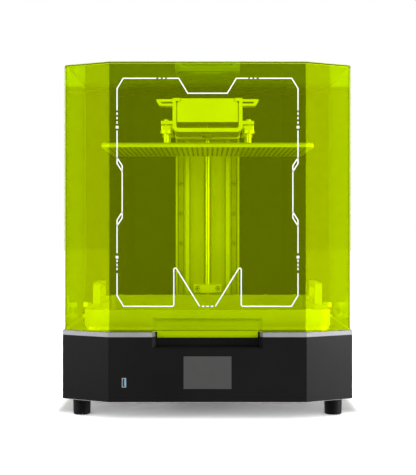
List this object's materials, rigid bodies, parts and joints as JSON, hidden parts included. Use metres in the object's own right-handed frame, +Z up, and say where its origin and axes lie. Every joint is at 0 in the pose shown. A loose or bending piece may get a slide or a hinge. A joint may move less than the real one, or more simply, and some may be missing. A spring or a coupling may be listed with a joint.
{
  "type": "resin printer",
  "caption": "Large bench resin printer: eight-sided dark base with touchscreen, tinted lift-up hood, raised build platform on a screw-driven arm, and resin vat with thumb screws.",
  "frame": {"origin": "on the table, under the middle of the printer's plan", "axes": "+Z up, +X to the right seen from the front, +Y to the back"},
  "size_m": [0.475, 0.4, 0.5785],
  "materials": {
    "base_black": "satin powder coat",
    "strip_silver": "brushed",
    "foot_rubber": "matte",
    "screen_glass": "satin glass, display off",
    "board_green": "circuit board",
    "steel": "ground",
    "usb_blue": "moulded",
    "lcd_dark": "gloss",
    "black_plastic": "moulded",
    "lens_clear": "clear",
    "motor_black": "satin",
    "hood_tint": "glossy transparent yellow-green",
    "hinge_black": "black anodised",
    "aluminium_satin": "bead blasted",
    "brass": "machined",
    "film_clear": "clear film"
  },
  "bodies": {
    "chassis": {"base_housing": "base_black", "finger_cup": "base_black", "bottom_plate": "base_black", "top_deck": "base_black", "trim_strip": "strip_silver", "rubber_feet": "foot_rubber", "display_glass": "screen_glass", "display_module": "board_green", "usb_shell": "steel", "usb_tongue": "usb_blue", "lcd_panel": "lcd_dark", "light_shroud": "black_plastic", "lens_array": "lens_clear", "led_board": "board_green", "heat_sink": "aluminium_satin", "mainboard": "board_green", "power_supply": "steel", "power_inlet": "black_plastic", "switch_bezel": "black_plastic", "fan_frame_inner": "black_plastic", "fan_frame_outer": "black_plastic", "rear_shell": "base_black", "hinge_brackets": "steel", "hinge_pins": "steel", "z_column": "aluminium_satin", "linear_rail_right": "steel", "linear_rail_left": "steel", "column_screws": "steel", "lower_bearing_block": "aluminium_satin", "upper_bearing_block": "aluminium_satin", "z_motor": "motor_black", "limit_sensor": "black_plastic"},
    "hood": {"hood_shell": "hood_tint", "hood_handle": "hood_tint", "hood_hinge_bar": "hinge_black"},
    "rocker": {"power_rocker": "black_plastic"},
    "fan_inner": {"fan_rotor_inner": "black_plastic"},
    "fan_outer": {"fan_rotor_outer": "black_plastic"},
    "screw": {"lead_screw": "steel", "shaft_coupler": "aluminium_satin"},
    "carriage": {"carriage_plate": "aluminium_satin", "guide_blocks": "steel", "screw_nut": "brass", "platform_arm": "aluminium_satin", "carriage_screws": "steel"},
    "platform": {"platform_hanger": "aluminium_satin", "hanger_grips": "aluminium_satin", "build_plate": "aluminium_satin", "leveling_posts": "steel", "leveling_nuts": "steel", "leveling_bolts": "steel"},
    "clamp": {"clamp_screw": "steel"},
    "vat": {"vat_frame": "aluminium_satin", "film_clamp": "aluminium_satin", "release_film": "film_clear", "vat_handle_right": "aluminium_satin", "vat_handle_left": "aluminium_satin"},
    "thumb_right": {"thumb_screw_right": "steel"},
    "thumb_left": {"thumb_screw_left": "steel"}
  },
  "joints": [
    {"name": "hood_hinge", "type": "hinge", "parent": "chassis", "child": "hood", "pos_m": [0, 0.1, 0.572], "axis": [-1, 0, 0], "range_deg": [0, 85]},
    {"name": "z_slide", "type": "slide", "parent": "chassis", "child": "carriage", "axis": [0, 0, 1], "range_m": [-0.3, 0]},
    {"name": "screw_turn", "type": "hinge", "parent": "chassis", "child": "screw", "pos_m": [0, 0.125, 0.3], "axis": [0, 0, 1], "range_deg": [0, 10900]},
    {"name": "platform_slide", "type": "slide", "parent": "carriage", "child": "platform", "axis": [0, -1, 0], "range_m": [0, 0.04]},
    {"name": "clamp_turn", "type": "hinge", "parent": "platform", "child": "clamp", "pos_m": [0, -0.035, 0.472], "axis": [0, 0, 1], "continuous": true},
    {"name": "vat_lift", "type": "slide", "parent": "chassis", "child": "vat", "axis": [0, 0, 1], "range_m": [0, 0.05]},
    {"name": "thumb_turn_right", "type": "hinge", "parent": "vat", "child": "thumb_right", "pos_m": [0.218, 0.02, 0.17], "axis": [0, 0, 1], "continuous": true},
    {"name": "thumb_turn_left", "type": "hinge", "parent": "vat", "child": "thumb_left", "pos_m": [-0.218, 0.02, 0.17], "axis": [0, 0, 1], "continuous": true},
    {"name": "rocker_tip", "type": "hinge", "parent": "chassis", "child": "rocker", "pos_m": [-0.06, 0.195, 0.08], "axis": [1, 0, 0], "range_deg": [0, 12]},
    {"name": "fan_spin_inner", "type": "hinge", "parent": "chassis", "child": "fan_inner", "pos_m": [0.04, 0.19, 0.085], "axis": [0, 1, 0], "continuous": true},
    {"name": "fan_spin_outer", "type": "hinge", "parent": "chassis", "child": "fan_outer", "pos_m": [0.112, 0.19, 0.085], "axis": [0, 1, 0], "continuous": true}
  ],
  "couplings": [
    {"joint": "screw_turn", "follows": "z_slide", "rad_per_m": -628.32}
  ]
}
